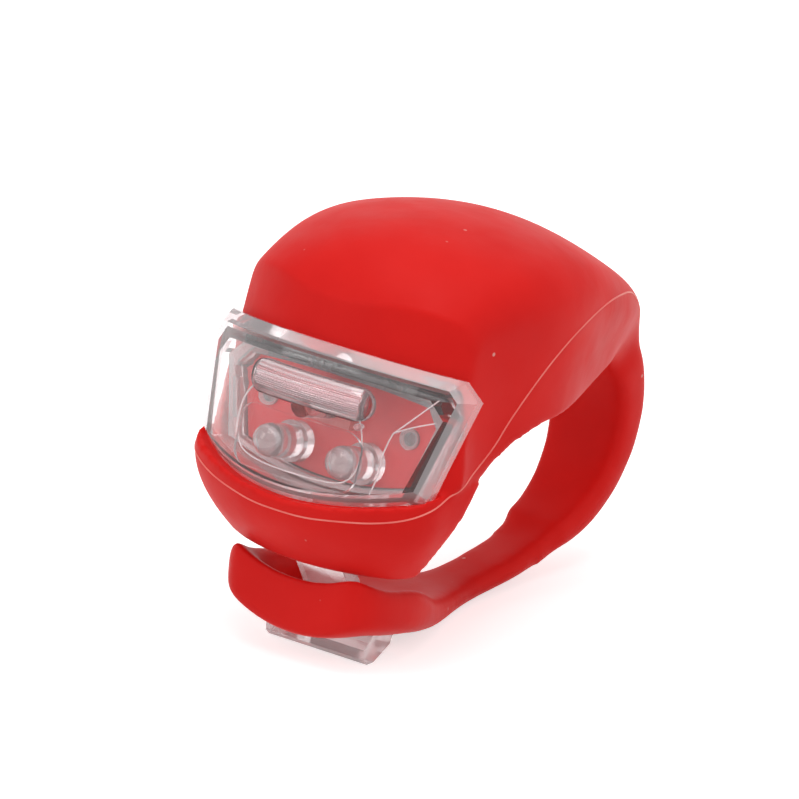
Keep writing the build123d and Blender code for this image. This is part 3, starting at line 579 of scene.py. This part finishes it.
def draw_parting_line(jacket):
    """The fine ridge that the mould left round the chin and up both flanks to the root of the strap."""
    other_side = [(-x, y, z) for x, y, z in reversed(PARTING_POINTS[1:])]
    places = [measured(point) for point in other_side + PARTING_POINTS]
    line = converted(curve_through("parting_line", places, PARTING_STEPS), "MESH")
    apply_modifier(line, "SHRINKWRAP", target=jacket, wrap_method="NEAREST_SURFACEPOINT")
    apply_modifier(line, "SMOOTH", factor=SMOOTH_SHARE, iterations=PARTING_PASSES)
    line = converted(line, "CURVE")
    line.data.bevel_depth = PARTING_RADIUS * MM
    line.data.bevel_resolution = 2
    line = converted(line, "MESH")
    line.name = "parting_line"
    # The ridge is real; its lighter red paints the highlight that it catches.
    line.data.materials.clear()
    line.data.materials.append(finishes["parting_highlight"])
    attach(line, "capsule")


# Clear lens: the cover's own form, with the round bar behind it, and painted highlights: a paler tint on
# its rim and on the bar, and pale lines along the edges of its window.

# The lens leans back from its foot, and its face is a bow about a line behind it. Sizes in millimetres.
LENS_TILT = math.radians(14.4)
LENS_FOOT_Y = -19.4
LENS_FOOT_Z = 17.7
BOW_CENTRE = -15.7
BOW_RADIUS = 19.5

# A face outside this radius that looks this much aside belongs to the rim.
RIM_INSIDE = 18.0
RIM_FACING = 0.93

BAR_RING = 17.9
BAR_RADIUS = 1.35
BAR_HALF = 6.2
BAR_RISE = 6.85
BAR_SIDES = 48
BAR_STEPS = 30
BAR_END_FACING = 0.9
BAR_END_ROUND = 0.55
BAR_END_STEPS = 4

# Painted highlight lines on the inner face along moulded edges, each as ways along the bow and rises over
# the lens's foot.
EDGE_HIGHLIGHT_RADIUS = 0.07
EDGE_RING = 18.1
EDGE_STEPS = 10
WINDOW_EDGE = [
    (-6.2, 5.8),
    (-7.2, 4.8),
    (-7.5, 2.8),
    (-7.1, 0.9),
    (-5.8, -0.1),
    (-2.5, -0.5),
    (2.5, -0.5),
    (5.4, -0.3),
    (6.6, 0.8),
    (6.8, 2.8),
    (6.4, 4.6),
    (5.9, 5.6),
]
FACET_EDGES = [
    [(12.6, 8.9), (9.6, 5.6), (9.2, 5.2)],
    [(12.8, 6.9), (10.4, 6.0), (9.2, 5.2)],
    [(9.2, 5.2), (8.6, 3.4), (8.8, 1.4), (8.3, -0.6)],
]

DROPLET_PLACE = (5.9, 5.0)
DROPLET_RADIUS = 0.5
DROPLET_FLAT = 0.7
DROPLET_LEAN = 0.3
DROPLET_SIDES = 24
DROPLET_RINGS = 14

SMOOTH_UNDER = 15


def bowed(across, rise, ring):
    """A point by its way along the bow, its rise over the foot and how far it is from the bow's centre."""
    turn = across / BOW_RADIUS
    ahead = BOW_CENTRE + ring * math.cos(turn)
    y = LENS_FOOT_Y + rise * math.sin(LENS_TILT) - ahead * math.cos(LENS_TILT)
    z = LENS_FOOT_Z + rise * math.cos(LENS_TILT) + ahead * math.sin(LENS_TILT)
    return measured((ring * math.sin(turn), y, z))


def outward(point):
    """The lens's own direction away from the bow's centre line at a point, and how far out the point is."""
    y = point.y / MM - SHIFT_Y - LENS_FOOT_Y
    z = point.z / MM - LENS_FOOT_Z
    ahead = z * math.sin(LENS_TILT) - y * math.cos(LENS_TILT) - BOW_CENTRE
    x = point.x / MM
    ring = math.hypot(x, ahead)
    way = Vector((x, -ahead * math.cos(LENS_TILT), ahead * math.sin(LENS_TILT))) / ring
    return way, ring


def on_rim(face):
    """Whether a face of the lens lies on its bevelled rim, which looks aside from the bow."""
    way, ring = outward(face.center)
    return abs(face.normal.dot(way)) < RIM_FACING and ring > RIM_INSIDE


def press_bar():
    """The round bar moulded across the lens's inside, made straight in millimetres and then bowed."""
    bpy.ops.object.select_all(action="DESELECT")
    bpy.ops.mesh.primitive_cylinder_add(
        vertices=BAR_SIDES, radius=BAR_RADIUS, depth=2 * BAR_HALF, rotation=(0, math.pi / 2, 0))
    bar = bpy.context.object
    bpy.ops.object.transform_apply(location=True, rotation=True, scale=True)
    select_faces(bar, lambda face: abs(face.normal.x) > BAR_END_FACING)
    bpy.ops.mesh.bevel(offset=BAR_END_ROUND, segments=BAR_END_STEPS, affect="EDGES")
    bpy.ops.mesh.select_all(action="DESELECT")
    bpy.ops.object.mode_set(mode="OBJECT")
    points = bar.data.vertices
    for edge in bar.data.edges:
        start, end = (points[i].co for i in edge.vertices)
        edge.select = abs(start.x - end.x) > BAR_HALF
    bpy.ops.object.mode_set(mode="EDIT")
    bpy.ops.mesh.select_mode(type="EDGE")
    bpy.ops.mesh.subdivide(number_cuts=BAR_STEPS)
    bpy.ops.mesh.select_mode(type="VERT")
    bpy.ops.object.mode_set(mode="OBJECT")
    for vertex in bar.data.vertices:
        across, out, rise = vertex.co
        vertex.co = bowed(across, BAR_RISE + rise, BAR_RING - out)
    bpy.ops.object.shade_smooth()
    # The bar's paler pink tint paints its highlight.
    bar.data.materials.append(finishes["lens_bar_painted_highlight"])
    return bar


def edge_highlight_line(points, name):
    """A painted highlight along a moulded edge: a fine pale round line on the lens's inner face."""
    places = [bowed(across, rise, EDGE_RING) for across, rise in points]
    line = curve_through(name, places, EDGE_STEPS)
    line.data.bevel_depth = EDGE_HIGHLIGHT_RADIUS * MM
    line.data.bevel_resolution = 2
    line.data.use_fill_caps = True
    line = converted(line, "MESH")
    line.data.materials.clear()
    line.data.materials.append(finishes["lens_edge_highlight"])
    return line


def droplet():
    """The small bead of plastic that the mould left at the end of the bar, leaning to the side."""
    bpy.ops.object.select_all(action="DESELECT")
    bpy.ops.mesh.primitive_uv_sphere_add(
        segments=DROPLET_SIDES, ring_count=DROPLET_RINGS, radius=DROPLET_RADIUS)
    bead = bpy.context.object
    for vertex in bead.data.vertices:
        across, out, rise = vertex.co
        height = DROPLET_FLAT * rise
        aside = DROPLET_PLACE[0] + across + DROPLET_LEAN * height
        vertex.co = bowed(aside, DROPLET_PLACE[1] + height, BAR_RING - out)
    bpy.ops.object.shade_smooth()
    # The droplet shares the bar's paler tint, a painted highlight.
    bead.data.materials.append(finishes["lens_bar_painted_highlight"])
    return bead


def keep_normals(piece, source):
    """A merged copy takes its solid's own smooth normals, or smooth shading if its corners differ."""
    bpy.ops.object.shade_smooth()
    kept = [tuple(corner.vector) for corner in source.corner_normals]
    if len(kept) == len(piece.data.loops):
        piece.data.normals_split_custom_set(kept)
    else:
        bpy.ops.object.shade_smooth_by_angle(angle=math.radians(SMOOTH_UNDER))


def mould_lens():
    """The lens with its rim painted paler as a highlight, joined with the bar, the droplet and the painted
    highlight lines along its window's edges.
    """
    lens = copy_of("lens", EXACT_REACH)
    lens.data.materials.clear()
    lens.data.materials.append(finishes["lens"])
    lens.data.materials.append(finishes["lens_rim_painted_highlight"])
    keep_normals(lens, nodes["lens"].data)
    # Rim faces take the paler finish, a painted highlight.
    for face in lens.data.polygons:
        if on_rim(face):
            face.material_index = 1
    extras = [press_bar(), droplet(), edge_highlight_line(WINDOW_EDGE, "window_edge_highlight")]
    extras += [edge_highlight_line(points, f"facet_edge_highlight_{i}") for i, points in enumerate(FACET_EDGES)]
    join(lens, extras)
    lens.name = "clear_lens"
    lens.data.name = "clear_lens"
    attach(lens, "lens")
    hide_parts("lens")


# Room.


def soft_lamp(name, towards, distance, size, watts, aim):
    """A soft panel of light that stands that way from what it is aimed at."""
    data = bpy.data.lights.new(name, "AREA")
    data.shape = "RECTANGLE"
    data.size, data.size_y = size
    data.energy = watts
    lamp = bpy.data.objects.new(name, data)
    bpy.context.scene.collection.objects.link(lamp)
    lamp.location = aim + Vector(towards).normalized() * distance
    lamp.rotation_mode = "QUATERNION"
    lamp.rotation_quaternion = (aim - lamp.location).to_track_quat("-Z", "Y")


def looking(tree):
    """One for a ray that looks, mirrors or passes through clear plastic, and nought for other light."""
    path = tree.nodes.new("ShaderNodeLightPath")
    found = path.outputs["Is Camera Ray"]
    for kind in ("Is Glossy Ray", "Is Transmission Ray"):
        either = tree.nodes.new("ShaderNodeMath")
        either.operation = "MAXIMUM"
        tree.links.new(found, either.inputs[0])
        tree.links.new(path.outputs[kind], either.inputs[1])
        found = either.outputs[0]
    return found


def glowing(tree, kind, colour, strength):
    """A background or an emission of one colour and strength."""
    node = tree.nodes.new(kind)
    node.inputs["Color"].default_value = (*colour, 1)
    node.inputs["Strength"].default_value = strength
    return node


def light_room():
    """A room that looks white and lights the piece more softly than it looks."""
    world = bpy.data.worlds.new("room")
    bpy.context.scene.world = world
    world.use_nodes = True
    tree = world.node_tree
    tree.nodes.clear()
    output = tree.nodes.new("ShaderNodeOutputWorld")
    seen = glowing(tree, "ShaderNodeBackground", grey(1), 1.0)
    light = glowing(tree, "ShaderNodeBackground", (1, 0.99, 0.98), ROOM_LIGHT)
    mix = tree.nodes.new("ShaderNodeMixShader")
    tree.links.new(looking(tree), mix.inputs[0])
    tree.links.new(light.outputs[0], mix.inputs[1])
    tree.links.new(seen.outputs[0], mix.inputs[2])
    tree.links.new(mix.outputs[0], output.inputs[0])


def lay_floor():
    """A plain pale floor that keeps the shadow and glows only to what looks at it."""
    bpy.ops.mesh.primitive_plane_add(size=FLOOR_SIZE, location=(0, 0, 0))
    floor = bpy.context.object
    floor.name = "floor"
    bpy.ops.object.transform_apply(location=True, rotation=True, scale=True)
    material, tree, shader = new_material("pale_floor")
    shader.inputs["Base Color"].default_value = (*grey(FLOOR_GREY), 1)
    shader.inputs["Roughness"].default_value = 0.9
    shader.inputs["Specular IOR Level"].default_value = 0.0
    glow = glowing(tree, "ShaderNodeEmission", grey(1), 1.0)
    tree.links.new(product(tree, looking(tree), FLOOR_GLOW), glow.inputs["Strength"])
    both = tree.nodes.new("ShaderNodeAddShader")
    tree.links.new(shader.outputs[0], both.inputs[0])
    tree.links.new(glow.outputs[0], both.inputs[1])
    tree.links.new(both.outputs[0], tree.nodes["Material Output"].inputs["Surface"])
    floor.data.materials.append(material)


back, right, up = place_camera()
light_room()
lay_floor()
middle = (cad_low + cad_high) / 2
above = Vector((0, 0, 1)) + back * 0.15
from_left = back * 0.7 - right * 1.0 + up * 0.5
from_right = back * 0.7 + right * 1.0 + up * 0.3
soft_lamp("top_lamp", above, distance=0.7, size=(0.5, 0.5), watts=2.0, aim=middle)
soft_lamp("left_lamp", from_left, distance=0.8, size=(0.35, 0.5), watts=0.9, aim=middle)
soft_lamp("right_lamp", from_right, distance=0.9, size=(0.3, 0.5), watts=0.7, aim=middle)
finish_nodes()
draw_parting_line(mould_silicone())
mould_lens()

bpy.context.scene.view_settings.view_transform = "Standard"
